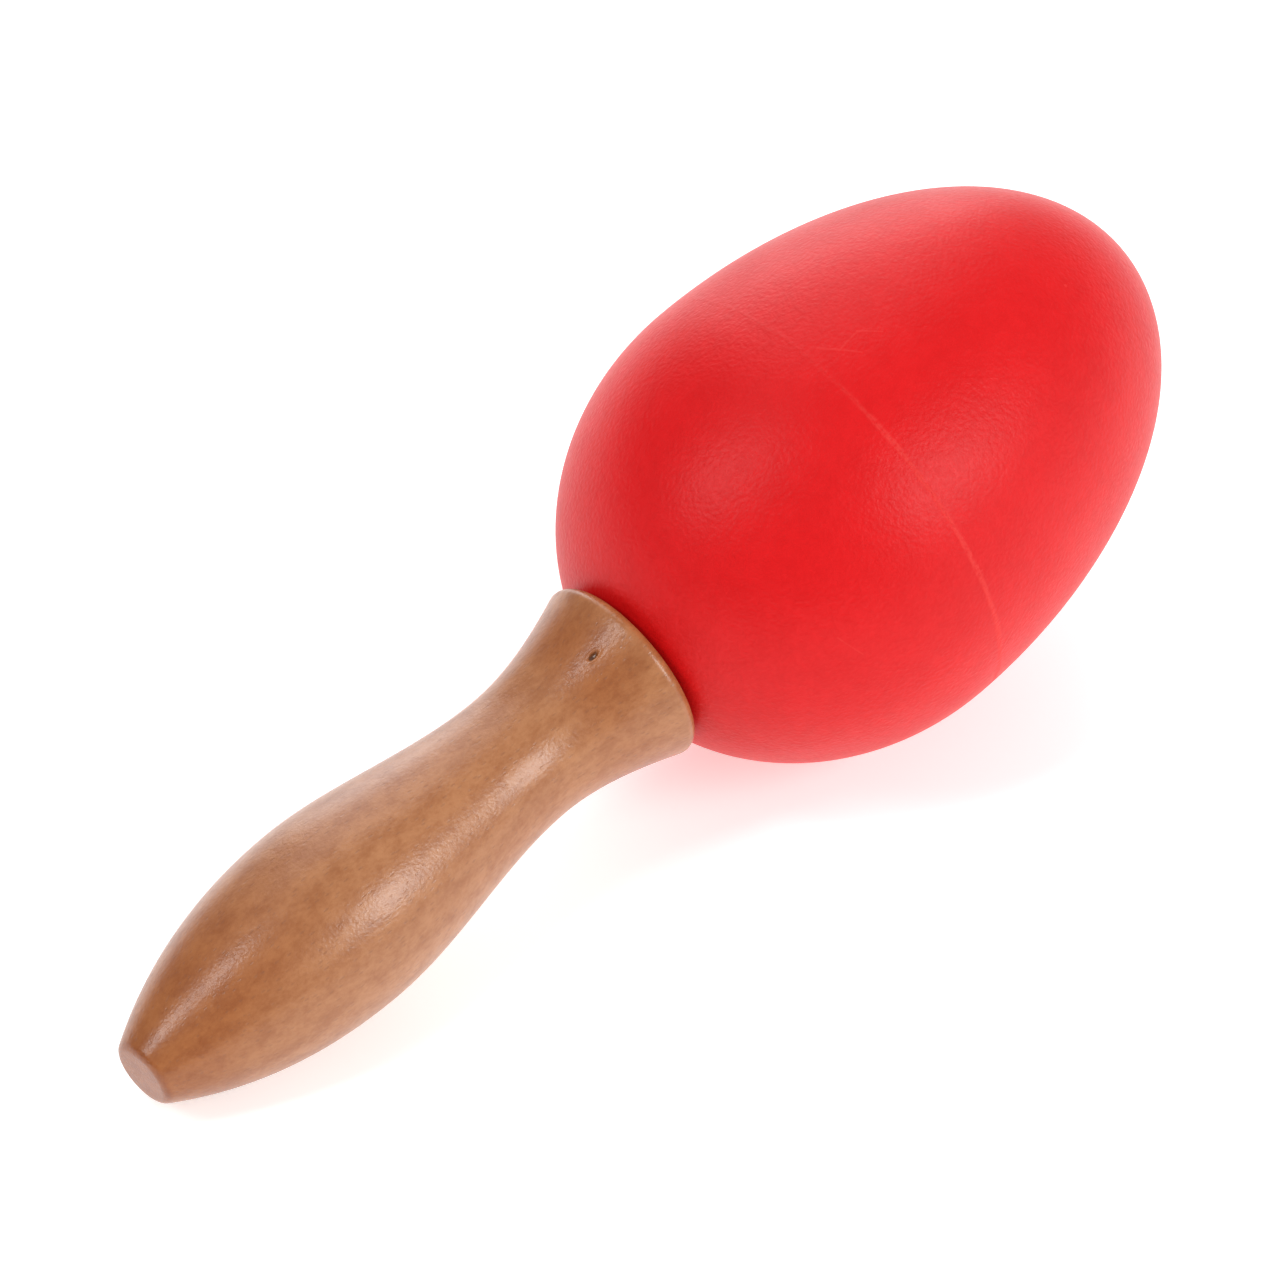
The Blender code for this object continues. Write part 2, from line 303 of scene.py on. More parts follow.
# %% Draw the egg's outline
EGG_RADIUS = 27.5 * MM
BLUNT_LENGTH, TIP_LENGTH = 30.9 * MM, 45.7 * MM
SEAT_DEPTH = 1.4 * MM
SHELL_WALL = 1.8 * MM
BELLY_HEIGHT = HANDLE_LENGTH - SEAT_DEPTH + BLUNT_LENGTH
EGG_BOTTOM = BELLY_HEIGHT - BLUNT_LENGTH
SEAM_HEIGHT = BELLY_HEIGHT + 1.2 * MM
LAP_LENGTH, LAP_DEPTH = 2.5 * MM, 0.75 * MM
LAP_STEP = SEAM_HEIGHT - LAP_LENGTH
PEG_RADIUS, PEG_WALL, PEG_LENGTH = 4.0 * MM, 1.8 * MM, 10.0 * MM
PEG_CHAMFER = 0.5 * MM
PEG_END = EGG_BOTTOM - PEG_LENGTH
BORE_RADIUS = PEG_RADIUS + FIT_GAP
BORE_END = PEG_END - 1.0 * MM


def egg_point(lift, inset=0.0):
    """Radius and height of the egg at a lift, read the inset further in (or out, if negative)."""
    reach = np.where(lift > 0, TIP_LENGTH, BLUNT_LENGTH) - inset
    return (EGG_RADIUS - inset) * np.cos(lift), BELLY_HEIGHT + reach * np.sin(lift)


def lift_at_height(height, inset=0.0):
    """The lift at which the egg, read the inset further in, reaches a height."""
    reach = (TIP_LENGTH if height > BELLY_HEIGHT else BLUNT_LENGTH) - inset
    return math.asin(max(-1.0, min(1.0, (height - BELLY_HEIGHT) / reach)))


def lift_at_blunt_radius(radius, inset=0.0):
    """The lift at which the blunt end has narrowed to a radius."""
    return -math.acos(radius / (EGG_RADIUS - inset))


SEAM_LIFT = lift_at_height(SEAM_HEIGHT)
LAP_RADIUS = float(egg_point(SEAM_LIFT)[0]) - LAP_DEPTH
cad_tip = outline_of("egg_tip_half")[1].max()
print("the CAD egg ends at", round(cad_tip / MM, 2), "mm, and this one at",
      round((BELLY_HEIGHT + TIP_LENGTH) / MM, 2), "mm")

# %% [markdown]
# ## The handle, with its sunk brad
#
# Under the lip a small brad goes through the wood into the peg of the egg, and its head is
# punched in a little way. A Boolean could cut the hole, but its edge would be knife sharp. A
# punch leaves a soft oblong dent with the wood pushed up round it, so the grid itself is moved:
# in towards the axis inside the dent, and slightly out round its edge. The CAD brad stays in
# place, and its head shows at the bottom. Sanding by hand also leaves a turned piece a few
# hundredths of a millimetre out of round, and a long highlight shows it, so that is put in too.

# %% Shape the dent and the sanding
DENT_HALF_LENGTH, DENT_HALF_WIDTH = 0.66 * MM, 0.32 * MM
DENT_DEPTH = 0.42 * MM
DENT_LIP = 0.03 * MM
HAND_SANDING = 0.02 * MM


def dent(radius, height, turn):
    """How far the surface moves at the brad, worked out from how many half-sizes away a point is:
    a well with a smooth S for its side, from a flat bottom at 0.5 up to its edge at 1.25, and
    round it a low rim, a bell curve 0.4 wide at 1.5."""
    around = (turn - BRAD_TURN + math.pi) % (2 * math.pi) - math.pi
    away = np.hypot((height - BRAD_HEIGHT) / DENT_HALF_LENGTH, radius * around / DENT_HALF_WIDTH)
    fall = np.clip((1.25 - away) / 0.75, 0, 1)
    well = fall * fall * (3 - 2 * fall)
    return DENT_LIP * np.exp(-(((away - 1.5) / 0.4) ** 2)) - DENT_DEPTH * well


def sanding(height, turn):
    """Three slow waves round and along the handle, each a different way."""
    waves = np.sin(2 * turn + height / (9 * MM)) + np.sin(3 * turn - height / (6 * MM) + 1.0)
    return HAND_SANDING * (waves + np.sin(turn + height / (4 * MM) + 2.0)) / 2


spin = crowded(-math.pi, math.pi, 257, (0.0, 0.10, 5.0))[:-1] + BRAD_TURN
brad_step = RIM_RADIUS * np.diff(spin).min()
print(spin.size, "turns, as close as", round(brad_step / MM, 3), "mm at the brad")

# %% [markdown]
# The handle's outline goes from the butt over the outside to the lip, down the cup that holds the
# egg, and down the bore that holds its peg. The cup is the egg itself, read a glue gap further
# out, so the two curves stay the same distance apart all the way.

# %% Make the handle
out_height = np.broadcast_to(outside_height[:, None], (outside_height.size, spin.size))
out_radius = outside_radius[:, None]
out_radius = out_radius + dent(out_radius, out_height, spin) + sanding(out_height, spin)

cup_start = lift_at_height(HANDLE_LENGTH, -FIT_GAP)
cup_end = lift_at_blunt_radius(BORE_RADIUS, -FIT_GAP)
cup_radius, cup_height = egg_point(np.linspace(cup_start, cup_end, 10), -FIT_GAP)
bore_radius = [BORE_RADIUS, BORE_RADIUS, 0.0]
bore_height = [(cup_height[-1] + BORE_END) / 2, BORE_END, BORE_END]

handle = turned(
    "turned_handle",
    rows(spin.size, 0.0, out_radius, cup_radius, bore_radius),
    rows(spin.size, 0.0, out_height, cup_height, bore_height),
    spin,
)
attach(handle, "shaker")
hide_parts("handle")
report(handle)

# %% [markdown]
# ## The two halves of the egg
#
# The egg is moulded in two halves that lap inside and are welded. The weld squeezes out a thin
# bead at the seam, rougher and more raised in some places than in others, and it is the one line
# that a hand feels on the shell. Drawing it only as bump would lose it at the outline, so both
# halves swell towards the seam, by up to a fiftieth of a millimetre. Moulded walls also cool
# unevenly, so very slow waves go over the whole shell.

# %% Shape the egg's outer skin
BEAD_HEIGHT = 0.018 * MM
BEAD_HALF_WIDTH = 0.40 * MM
SHELL_WAVES = 0.03 * MM
EGG_COLUMNS = 256
NEAR_SEAM = (SEAM_LIFT, 0.02, 9.0)
around = np.linspace(-math.pi, math.pi, EGG_COLUMNS + 1)[:-1]


def bead(height, turn):
    """Rise of the weld: a bell curve across the seam, times slow and quick waves along it."""
    quick = np.sin(17 * turn) * np.sin(29 * turn + 1.0)
    along_seam = 0.55 + 0.25 * np.sin(3 * turn + 0.5) + 0.2 * quick
    return BEAD_HEIGHT * along_seam * np.exp(-(((height - SEAM_HEIGHT) / BEAD_HALF_WIDTH) ** 2))


def shell_waves(lift, turn):
    """Slow waves over the shell that die out at the tip and the blunt end."""
    waves = np.sin(2 * turn + 3 * lift) + np.sin(3 * turn - 5 * lift + 1.3)
    return SHELL_WAVES * np.cos(lift) * waves / 2


def shell_outside(lifts):
    """Radius and height grids of the outer skin at these lifts, with its bead and waves."""
    radius, height = egg_point(lifts[:, None])
    radius = radius + bead(height, around) + shell_waves(lifts[:, None], around)
    return radius, np.broadcast_to(height, radius.shape)


highest_bead = bead(SEAM_HEIGHT, around).max()
print("the weld stands up to", round(highest_bead / MM, 3), "mm proud")

# %% [markdown]
# The blunt half's outline starts at the closed end of the hollow peg, goes down inside the peg,
# and climbs over the outside of the peg and of the shell to the seam. There it steps in for the
# lap and runs back down the inner wall to the middle, so the wall has its real thickness.

# %% Make the blunt half
peg_bore = PEG_RADIUS - PEG_WALL
peg_radius = [0.0, peg_bore, peg_bore, PEG_RADIUS - PEG_CHAMFER, PEG_RADIUS]
peg_height = [EGG_BOTTOM, EGG_BOTTOM, PEG_END, PEG_END, PEG_END + PEG_CHAMFER]
root_lift = lift_at_blunt_radius(PEG_RADIUS)
base_radius, base_height = shell_outside(crowded(root_lift, SEAM_LIFT, 150, NEAR_SEAM))
wall_radius, wall_height = egg_point(np.linspace(0.0, -math.pi / 2, 40), SHELL_WALL)
base_half = turned(
    "blunt_half_with_peg",
    rows(EGG_COLUMNS, peg_radius, base_radius, [LAP_RADIUS, LAP_RADIUS], wall_radius),
    rows(EGG_COLUMNS, peg_height, base_height, [SEAM_HEIGHT, LAP_STEP], wall_height),
    around,
)
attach(base_half, "shaker")
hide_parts("egg_base_half")
report(base_half)

# %% [markdown]
# The tip half starts at the middle of its roof inside and comes down the inner wall to the end of
# its lap. It goes back up a glue gap inside the other half's lap, steps out at the seam, and
# climbs the outside to the tip. A hundredth of a millimetre is left open at the seam, so that the
# two skins never lie in the same place.

# %% Make the tip half
WELD_GAP = 0.01 * MM

lap_end = LAP_STEP + FIT_GAP
weld_height = SEAM_HEIGHT + WELD_GAP
weld_lift = lift_at_height(weld_height)
tip_radius, tip_height = shell_outside(crowded(weld_lift, math.pi / 2, 170, NEAR_SEAM))
roof_lifts = np.linspace(math.pi / 2, lift_at_height(lap_end, SHELL_WALL), 44)
roof_radius, roof_height = egg_point(roof_lifts, SHELL_WALL)
tip_half = turned(
    "tip_half_with_lap",
    rows(EGG_COLUMNS, roof_radius, [LAP_RADIUS - FIT_GAP, LAP_RADIUS - FIT_GAP], tip_radius),
    rows(EGG_COLUMNS, roof_height, [lap_end, weld_height], tip_height),
    around,
)
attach(tip_half, "shaker")
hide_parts("egg_tip_half")
report(tip_half)

# %% [markdown]
# ## The shot
#
# What rattles is a small handful of steel shot. Each ball is a body of its own in the CAD model,
# so each gets its own piece, drawn with the same turned grid: a half circle round the ball's own
# centre, which is the middle of its CAD node's box.

# %% Make the shot
SHOT_COLUMNS, SHOT_ROWS = 24, 15

ball_bodies = {
    members[0]: body
    for body, members in frame["record"]["behaviour"]["bodies"].items()
    if members[0].startswith("pellet")
}


def shot(node):
    """A ball as big as the CAD pellet: radius R cos lift, height R sin lift, from pole to pole."""
    low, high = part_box(node)
    size = (high.z - low.z) / 2
    centre = np.array((low + high) / 2)
    lifts = np.linspace(-math.pi / 2, math.pi / 2, SHOT_ROWS)[:, None]
    turns = np.linspace(0, 2 * math.pi, SHOT_COLUMNS + 1)[:-1]
    name = node.replace("pellet", "shot")
    ball = turned(name, size * np.cos(lifts), size * np.sin(lifts), turns, centre)
    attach(ball, ball_bodies[node])
    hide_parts(node)
    return ball


balls = [shot(node) for node in sorted(ball_bodies)]
report(balls[0])
print(len(balls), "balls of shot")

# %% [markdown]
# ## Building finishes from nodes
#
# Every finish below is a chain of nodes, and written out in full each chain would hide its idea
# under its wiring. A few helpers keep one thought to a line: add a node, feed its sockets from a
# number or from another node, fade between two values, and make clouds of a given real size.
# Every pattern starts from the piece's own coordinates, turned onto the maraca's axis by one
# Mapping node, so x is towards TOP, y towards SIDE and z along the axis, all in metres.

# %% Helpers for finishes
AXES = Matrix((TOP, SIDE, ALONG))


def node(finish, kind, inputs=(), **settings):
    """Adds a node. inputs maps a socket's name or number to a value or to another node's output."""
    made = finish.node_tree.nodes.new("ShaderNode" + kind)
    for setting, value in settings.items():
        setattr(made, setting, value)
    for socket, value in dict(inputs).items():
        if isinstance(value, bpy.types.NodeSocket):
            finish.node_tree.links.new(value, made.inputs[socket])
        else:
            made.inputs[socket].default_value = value
    return made


def new_finish(name):
    """A material, its Principled shader, and where a point is in the maraca's own directions."""
    finish = bpy.data.materials.new(name)
    finish.use_nodes = True
    surface = finish.node_tree.nodes["Principled BSDF"]
    piece_point = node(finish, "TexCoord").outputs["Object"]
    turn = AXES.to_euler()
    shift = -(AXES @ Vector(BUTT))
    where = node(finish, "Mapping", {"Vector": piece_point, "Location": shift, "Rotation": turn})
    return finish, surface, where.outputs["Vector"]


def maths(finish, operation, *values):
    """One sum on numbers."""
    return node(finish, "Math", dict(enumerate(values)), operation=operation).outputs[0]


def vector_maths(finish, operation, *values):
    """One sum on vectors, which may give a vector or a number."""
    made = node(finish, "VectorMath", dict(enumerate(values)), operation=operation)
    return made.outputs["Value" if operation in ("LENGTH", "DOT_PRODUCT", "DISTANCE") else "Vector"]


def fade(finish, value, start, end, low=0.0, high=1.0):
    """low up to start, high from end on, and a smooth S between them."""
    inputs = {"Value": value, "From Min": start, "From Max": end, "To Min": low, "To Max": high}
    return node(finish, "MapRange", inputs, interpolation_type="SMOOTHSTEP").outputs["Result"]


def in_cells(finish, where, size):
    """The same place, counted in cells of a size in metres: towards TOP, towards SIDE, along."""
    return vector_maths(finish, "MULTIPLY", where, [1 / length for length in size])


def clouds(finish, where, size, detail=2.0, rough=0.5):
    """Cloudy noise from 0 to 1, with clouds of about this size."""
    cell_place = in_cells(finish, where, size)
    inputs = {"Vector": cell_place, "Scale": 1.0, "Detail": detail, "Roughness": rough}
    return node(finish, "TexNoise", inputs).outputs[0]


def mix(finish, share, first, second, how="MIX"):
    """The first colour, with a share of the second mixed in or multiplied on."""
    colours = {0: share, 6: first, 7: second}
    return node(finish, "Mix", colours, data_type="RGBA", blend_type=how).outputs[2]


def feed(finish, surface, socket, value):
    """Lets a node's output set one of the shader's sockets."""
    finish.node_tree.links.new(value, surface.inputs[socket])


def raise_skin(finish, surface, height):
    """Bump from a height in metres, on the surface and on the clear coat over it."""
    bump = node(finish, "Bump", {"Height": height, "Distance": 1.0, "Strength": 1.0})
    feed(finish, surface, "Normal", bump.outputs["Normal"])
    feed(finish, surface, "Coat Normal", bump.outputs["Normal"])


print("the axes turn by", [round(math.degrees(angle), 2) for angle in AXES.to_euler()], "degrees")

# %% [markdown]
# ## Lacquered wood: the grain
#
# The handle is a pale, even hardwood such as beech, stained light brown under a satin clear
# lacquer. Close to, it has faint growth rings that the turning cuts into long loops, a cloudy
# mottle where the stain soaked in unevenly, and fine streaks of fibre. The loops could be drawn,
# but rings measured from a line beside the handle, where the middle of the tree was, fall into
# loops by themselves on every curve. Rings, streaks and mottle are added up to one shade.

# %% Wood grain
WOOD_LIGHT = (0.450, 0.192, 0.078, 1.0)
WOOD_DARK = (0.325, 0.112, 0.034, 1.0)
PITH = (0.019, -0.006, 0.0)
RING_SPACING, RING_WANDER = 3.1 * MM, 7.0 * MM
RING_CLOUD = (5 * MM, 5 * MM, 14 * MM)
STREAK_SIZE = (0.38 * MM, 0.38 * MM, 0.80 * MM)
MOTTLE_SIZE = (2.2 * MM, 2.2 * MM, 2.8 * MM)
RING_SHARE, STREAK_SHARE, MOTTLE_SHARE = 0.09, 0.30, 0.80

wood, wood_surface, where = new_finish("lacquered_wood")
ring_noise = clouds(wood, where, RING_CLOUD, 4.0, 0.6)
from_pith = vector_maths(wood, "SUBTRACT", where, PITH)
from_pith = vector_maths(wood, "MULTIPLY", from_pith, (1.0, 1.0, 0.05))
from_pith = vector_maths(wood, "LENGTH", from_pith)
ring_place = maths(wood, "MULTIPLY_ADD", ring_noise, RING_WANDER, from_pith)
ring_wave = maths(wood, "SINE", maths(wood, "MULTIPLY", ring_place, 2 * math.pi / RING_SPACING))
rings = fade(wood, ring_wave, -1.0, 1.0)
streaks = clouds(wood, where, STREAK_SIZE, 2.0)
mottle = clouds(wood, where, MOTTLE_SIZE, 5.0, 0.72)
shade = maths(wood, "MULTIPLY", rings, RING_SHARE)
shade = maths(wood, "MULTIPLY_ADD", streaks, STREAK_SHARE, shade)
shade = maths(wood, "MULTIPLY_ADD", mottle, MOTTLE_SHARE, shade)
wood_colour = mix(wood, fade(wood, shade, 0.38, 0.86), WOOD_LIGHT, WOOD_DARK)
print("the grain takes", len(wood.node_tree.nodes), "nodes")

# %% [markdown]
# ## Lacquered wood: the stain, with painted shade and painted light
#
# Stain soaks in further where the turning cuts across the fibres: near the butt, up the throat,
# and most of all on the flat face of the butt, whose extra darkening is also painted shade. The
# same darker, redder tone is painted along one side as painted shade, and the side opposite is
# kept pale as painted light. Each of these is a slow fade over one of the handle's own directions,
# and the tone is multiplied on, so that the grain still shows through it.

# %% Stain, with painted shade and painted light
# Tone for the end-grain stain, and for the painted shade on one side and on the butt's face.
END_STAIN_AND_PAINTED_SHADE = (0.820, 0.640, 0.420, 1.0)

place_on_handle = node(wood, "SeparateXYZ", {0: where}).outputs
axis_height, sideways = place_on_handle["Z"], place_on_handle["Y"]
at_butt = fade(wood, axis_height, 34 * MM, 8 * MM)
at_lip = fade(wood, axis_height, 69 * MM, 74 * MM, 1.0, 0.4)
at_throat = maths(wood, "MULTIPLY", fade(wood, axis_height, 60 * MM, 67 * MM), at_lip)
# Painted shade: one side of the handle is made darker and redder.
painted_shade_side = fade(wood, sideways, 4 * MM, -3 * MM, 0.0, 0.5)
# Painted light: the opposite side keeps little of the tone, so it stays paler.
painted_light_side = fade(wood, sideways, 5 * MM, 10 * MM, 1.0, 0.25)
# This mask is end-grain stain near the butt and throat, with painted shade and light along the
# sides.
stain = maths(wood, "MAXIMUM", maths(wood, "MAXIMUM", at_butt, at_throat), painted_shade_side)
stain = maths(wood, "MULTIPLY", stain, painted_light_side)
wood_colour = mix(wood, stain, wood_colour, END_STAIN_AND_PAINTED_SHADE, "MULTIPLY")
# Darker butt face: end-grain stain, and painted shade on that face.
butt_face = fade(wood, axis_height, 0.9 * MM, 0.3 * MM, 0.0, 0.7)
wood_colour = mix(wood, butt_face, wood_colour, END_STAIN_AND_PAINTED_SHADE, "MULTIPLY")
print("with the stain it takes", len(wood.node_tree.nodes))

# %% [markdown]
# ## Lacquered wood: pores, and painted shade in the dent
#
# Hardwood has short open pores along the grain, which hold dark stain. A Voronoi pattern gives
# each long cell one point, and about half of the cells, chosen by their own random colour, have a
# pore at it. The brad's dent is painted darker, in it and a little way round it, by distance from
# the bottom of the dent: painted shade for the hollow.

# %% Pores, and painted shade in the dent
PORE_COLOUR = (0.200, 0.075, 0.033, 1.0)
PORE_CELL = (0.42 * MM, 0.42 * MM, 1.5 * MM)
PORE_SHARE = 0.30
# Painted shade for the brad's dent: its colour, reach and share.
PIT_PAINTED_SHADE = (0.090, 0.034, 0.016, 1.0)
PIT_SHADE_REACH, PIT_SHADE_SHARE = 0.70 * MM, 0.70

cell_place = in_cells(wood, where, PORE_CELL)
cells = node(wood, "TexVoronoi", {"Vector": cell_place, "Scale": 1.0, "Randomness": 1.0})
draw = node(wood, "SeparateColor", {0: cells.outputs["Color"]}).outputs[0]
chosen = fade(wood, draw, 0.45, 0.55)
pores = maths(wood, "MULTIPLY", fade(wood, cells.outputs["Distance"], 0.34, 0.16), chosen)
wood_colour = mix(wood, maths(wood, "MULTIPLY", pores, PORE_SHARE), wood_colour, PORE_COLOUR)

pit_radius = float(np.interp(BRAD_HEIGHT, outside_height, outside_radius)) - 0.7 * DENT_DEPTH
pit = Vector((pit_radius * math.cos(BRAD_TURN), pit_radius * math.sin(BRAD_TURN), BRAD_HEIGHT))
from_pit = vector_maths(wood, "SUBTRACT", where, pit)
from_pit = vector_maths(wood, "MULTIPLY", from_pit, (1.0, 1.6, 0.8))
from_pit = vector_maths(wood, "LENGTH", from_pit)
# Painted shade: darker towards the bottom of the brad's dent.
painted_pit_shade = fade(wood, from_pit, PIT_SHADE_REACH, 0.25 * MM, 0.0, PIT_SHADE_SHARE)
wood_colour = mix(wood, painted_pit_shade, wood_colour, PIT_PAINTED_SHADE)
feed(wood, wood_surface, "Base Color", wood_colour)
print("with pores and grime it takes", len(wood.node_tree.nodes))

# %% [markdown]
# ## Lacquered wood: the lacquer
#
# The lacquer is the shader's clear coat, and the wood under it is nearly matt. Dust and fibres
# that the lacquer lifts leave a fine grit, which breaks a highlight into sparkle, and the pores
# sink in a little. That is a height of a few hundredths of a millimetre, so it is bump. A coat
# has a normal of its own, and gets the same bump, or it would stay as smooth as glass.

# %% Lacquer
GRIT_SIZE = (0.38 * MM, 0.38 * MM, 0.46 * MM)
GRIT_RISE, STREAK_RISE, PORE_RISE = 0.040 * MM, 0.012 * MM, -0.012 * MM

grit = clouds(wood, where, GRIT_SIZE, 3.0)
feed(wood, wood_surface, "Roughness", maths(wood, "MULTIPLY_ADD", mottle, 0.20, 0.38))
wood_height = maths(wood, "MULTIPLY", pores, PORE_RISE)
wood_height = maths(wood, "MULTIPLY_ADD", grit, GRIT_RISE, wood_height)
wood_height = maths(wood, "MULTIPLY_ADD", streaks, STREAK_RISE, wood_height)
raise_skin(wood, wood_surface, wood_height)
wood_surface.inputs["Specular IOR Level"].default_value = 0.15
wood_surface.inputs["Coat Weight"].default_value = 0.80
wood_surface.inputs["Coat Roughness"].default_value = 0.27
handle.data.materials.append(wood)
print("the whole wood finish takes", len(wood.node_tree.nodes))

# %% [markdown]
# ## Satin red plastic: the colour
#
# The shell is coloured all through and moulded in a mould with a very fine etched skin. Its red
# is almost even: it wavers a little in slow drifts a centimetre wide, in small blooms, and in the
# pebbled skin itself. The three clouds are kept, because the gloss and the bump use them again.

# %% Red
RED = (0.700, 0.0050, 0.0070, 1.0)
RED_DEEP = (0.630, 0.0020, 0.0035, 1.0)
PEBBLE_SIZE, BLOOM_SIZE, DRIFT_SIZE = 0.50 * MM, 1.7 * MM, 11 * MM

red, red_surface, where = new_finish("satin_red_plastic")
pebble = clouds(red, where, (PEBBLE_SIZE,) * 3, 2.0)
drift = clouds(red, where, (DRIFT_SIZE,) * 3, 3.0)
bloom = clouds(red, where, (BLOOM_SIZE,) * 3, 3.0)
shade = maths(red, "MULTIPLY_ADD", bloom, 0.4, maths(red, "MULTIPLY", drift, 0.4))
shade = maths(red, "MULTIPLY_ADD", pebble, 0.3, shade)
red_colour = mix(red, fade(red, shade, 0.35, 0.75), RED, RED_DEEP)
print("the red takes", len(red.node_tree.nodes), "nodes")

# %% [markdown]
# ## Satin red plastic: the weld
#
# The weld stands proud, so it is rubbed lighter, most of all on one side. It is a band round the
# seam whose width wavers, and it is broken up by the pebbles, of which only the high ones rub.

# %% Rubbed weld
WELD_CLOUD = (2.6 * MM,) * 3
WELD_WIDTH = 0.75 * MM

place_on_egg = node(red, "SeparateXYZ", {0: where}).outputs
from_seam = maths(red, "ABSOLUTE", maths(red, "SUBTRACT", place_on_egg["Z"], SEAM_HEIGHT))
weld_width = maths(red, "MULTIPLY", clouds(red, where, WELD_CLOUD, 4.0, 0.7), WELD_WIDTH)
weld = fade(red, maths(red, "SUBTRACT", from_seam, weld_width), 0.12 * MM, -0.30 * MM)
weld = maths(red, "MULTIPLY", weld, fade(red, pebble, 0.30, 0.60, 0.25, 1.0))
rubbed_side = fade(red, place_on_egg["Y"], 3 * MM, 20 * MM, 0.15, 1.0)
weld = maths(red, "MULTIPLY", weld, rubbed_side)
print("with the weld it takes", len(red.node_tree.nodes))

# %% [markdown]
# ## Satin red plastic: scratches and specks
#
# The shell has been handled: a few hairline scratches catch the light, and there are specks. An
# even sprinkling would look made up, because scratches have a place. So each one is a thin
# capsule between two points of the shell, given by height and turn, and a point of the skin is
# scratched by how near it is to the line between them. The specks are the middles of a few
# chosen Voronoi cells.

# %% Scratches and specks
SCRATCH_SHARE, SPECK_SHARE = 0.35, 0.6
SPECK_SPACING = 5.5 * MM
SCRATCHES = [  # from (height in mm, turn in degrees), to the same, half width in mm
    ((106.6, 5), (108.2, 9), 0.22),
    ((108.2, 9), (111.4, 8), 0.20),
    ((108.2, 9), (109.8, 13), 0.16),
    ((111.4, 8), (113.4, 12), 0.14),
    ((102.6, 34), (103.4, 48), 0.16),
    ((124.0, -8), (127.5, -5), 0.18),
    ((88.0, 66), (89.5, 74), 0.16),
]


def shell_spot(height_mm, turn_degrees):
    """A point of the shell in the maraca's own directions, from its height and turn."""
    radius, height = egg_point(lift_at_height(height_mm * MM))
    turn = math.radians(turn_degrees)
    return Vector((float(radius) * math.cos(turn), float(radius) * math.sin(turn), float(height)))


def scratch(finish, where, start, end, half_width):
    """1 on the line from start to end, fading to 0 at half_width: the distance to a line is what
    is left of a point's offset after the part along the line is taken away."""
    along = end - start
    offset = vector_maths(finish, "SUBTRACT", where, start)
    share = vector_maths(finish, "DOT_PRODUCT", offset, along)
    share = maths(finish, "DIVIDE", share, along.length_squared)
    share = node(finish, "Clamp", {"Value": share}).outputs[0]
    nearest = node(finish, "VectorMath", {0: along, "Scale": share}, operation="SCALE")
    distance = vector_maths(finish, "DISTANCE", offset, nearest.outputs["Vector"])
    return fade(finish, distance, half_width, 0.3 * half_width)


worn = weld
for start, end, half_width in SCRATCHES:
    mark = scratch(red, where, shell_spot(*start), shell_spot(*end), half_width * MM)
    worn = maths(red, "MAXIMUM", worn, maths(red, "MULTIPLY", mark, SCRATCH_SHARE))
specks = node(red, "TexVoronoi", {"Vector": where, "Scale": 1 / SPECK_SPACING})
draw = node(red, "SeparateColor", {0: specks.outputs["Color"]}).outputs[1]
chosen = fade(red, draw, 0.74, 0.76)
specks = maths(red, "MULTIPLY", fade(red, specks.outputs["Distance"], 0.045, 0.025), chosen)
worn = maths(red, "MAXIMUM", worn, maths(red, "MULTIPLY", specks, SPECK_SHARE))
print(len(SCRATCHES), "scratches; with them and the specks it takes", len(red.node_tree.nodes))

# %% [markdown]
# ## Satin red plastic: colour, gloss and skin
#
# All three read the same clouds. Worn places are lighter, duller and slightly raised. The gloss
# wavers with the pebbles, so that a highlight looks powdery and has no sharp edge while the rest
# looks smooth, and a trace of sheen lightens the shell where it turns away.

# %% Satin skin
RED_WORN = (0.850, 0.075, 0.060, 1.0)
WORN_SHARE = 0.40
PEBBLE_RISE, BLOOM_RISE, WORN_RISE = 0.065 * MM, 0.015 * MM, 0.020 * MM

red_colour = mix(red, maths(red, "MULTIPLY", worn, WORN_SHARE), red_colour, RED_WORN)
feed(red, red_surface, "Base Color", red_colour)
red_gloss = maths(red, "MULTIPLY_ADD", drift, 0.10, 0.30)
red_gloss = maths(red, "MULTIPLY_ADD", pebble, 0.14, red_gloss)
red_gloss = maths(red, "MULTIPLY_ADD", worn, 0.15, red_gloss)
feed(red, red_surface, "Roughness", red_gloss)
red_height = maths(red, "MULTIPLY", pebble, PEBBLE_RISE)
red_height = maths(red, "MULTIPLY_ADD", bloom, BLOOM_RISE, red_height)
red_height = maths(red, "MULTIPLY_ADD", worn, WORN_RISE, red_height)
raise_skin(red, red_surface, red_height)
red_surface.inputs["Specular IOR Level"].default_value = 0.22
red_surface.inputs["Sheen Weight"].default_value = 0.02
red_surface.inputs["Sheen Roughness"].default_value = 0.45
for half in (base_half, tip_half):
    half.data.materials.append(red)
print("the whole red finish takes", len(red.node_tree.nodes))

# %% [markdown]
# ## Steel
#
# The shot is plain bright steel, tumbled until it is even: metallic, with a fine grain in its
# gloss. The head of the brad has been in the open, under finger grease and lacquer, so it is
# brown, dull and hardly metallic. Both are one function with different numbers.

# %% Steel finishes
BRIGHT, DULL = (0.56, 0.56, 0.57, 1.0), (0.42, 0.41, 0.40, 1.0)
BROWN, RUST = (0.13, 0.055, 0.030, 1.0), (0.08, 0.034, 0.018, 1.0)


